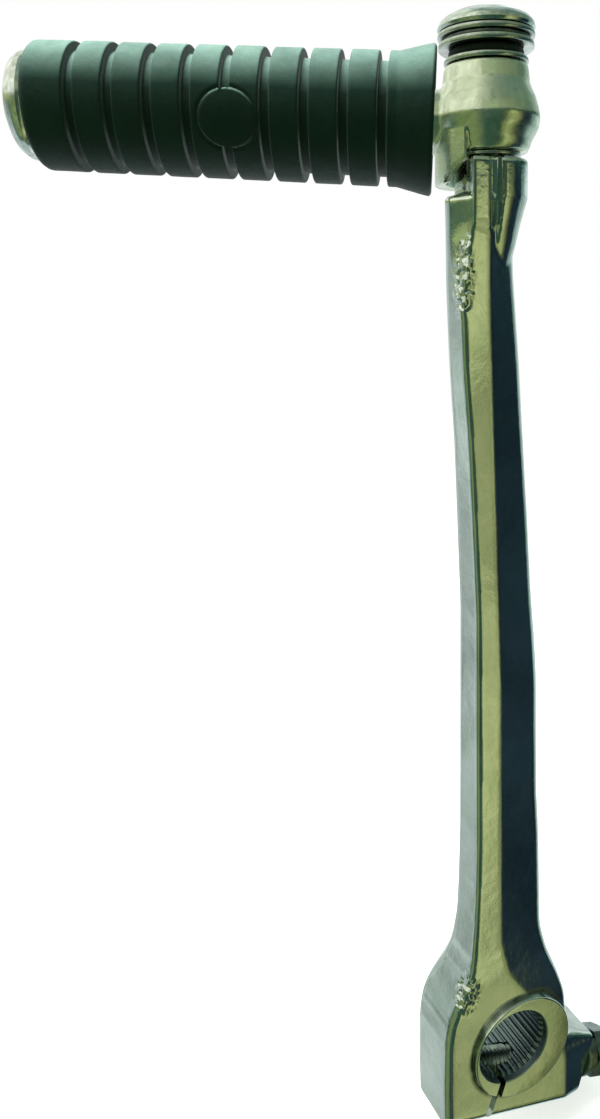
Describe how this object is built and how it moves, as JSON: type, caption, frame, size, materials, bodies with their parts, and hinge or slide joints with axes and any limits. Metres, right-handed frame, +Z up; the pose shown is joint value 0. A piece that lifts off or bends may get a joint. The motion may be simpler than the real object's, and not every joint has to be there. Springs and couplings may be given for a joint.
{
  "type": "folding kick lever",
  "caption": "Folding foot lever for a motorcycle: forged arm with a split splined hub and pinch bolt, and a ribbed rubber pedal that folds on an upright pivot pin.",
  "frame": {"origin": "on the axis of the splined bore, 9.8 mm behind the hub's front face and 7.5 mm in front of its back face", "axes": "+Z up the arm from the hub to the pedal, +Y along the bore from the collared face to the back face, so the folded pedal points to -X and a little to +Y"},
  "size_m": [0.1251, 0.0641, 0.269],
  "materials": {
    "arm_chrome": "chrome plated forging, polished, with small casting pits",
    "pedal_chrome": "chrome plated forging",
    "foot_rubber": "moulded rubber, satin",
    "cap_chrome": "chrome plated plate",
    "pin_chrome": "chrome plated domed head, plain shank",
    "washer_steel": "zinc plated",
    "spring_steel": "oiled spring steel",
    "seal_rubber": "soft black rubber",
    "bolt_steel": "dark zinc plated",
    "ball_steel": "polished"
  },
  "bodies": {
    "lever": {"lever_arm": "arm_chrome", "pivot_pin": "pin_chrome", "pivot_lock_pin": "spring_steel", "lower_washer": "washer_steel", "upper_washer": "washer_steel", "dust_seal": "seal_rubber", "cup_washer": "washer_steel", "retaining_ring": "spring_steel", "cap_washer": "washer_steel", "pinch_bolt": "bolt_steel", "pinch_flat_washer": "washer_steel", "pinch_spring_washer": "washer_steel"},
    "pedal": {"pedal_knuckle": "pedal_chrome", "pedal_rubber": "foot_rubber", "pedal_end_cap": "cap_chrome", "detent_spring": "spring_steel"},
    "detent": {"detent_ball": "ball_steel"}
  },
  "joints": [
    {"name": "pedal_fold", "type": "hinge", "parent": "lever", "child": "pedal", "pos_m": [-0.0023, 0.0006, 0.2176], "axis": [0, 0, -1], "range_deg": [0, 61.5]},
    {"name": "detent_press", "type": "slide", "parent": "pedal", "child": "detent", "axis": [-0.8798, 0.4718, 0.0576], "range_m": [-0.0006, 0], "stiffness_N_per_m": 2000, "springref_m": -0.0026, "deforming": ["detent_spring"]}
  ]
}
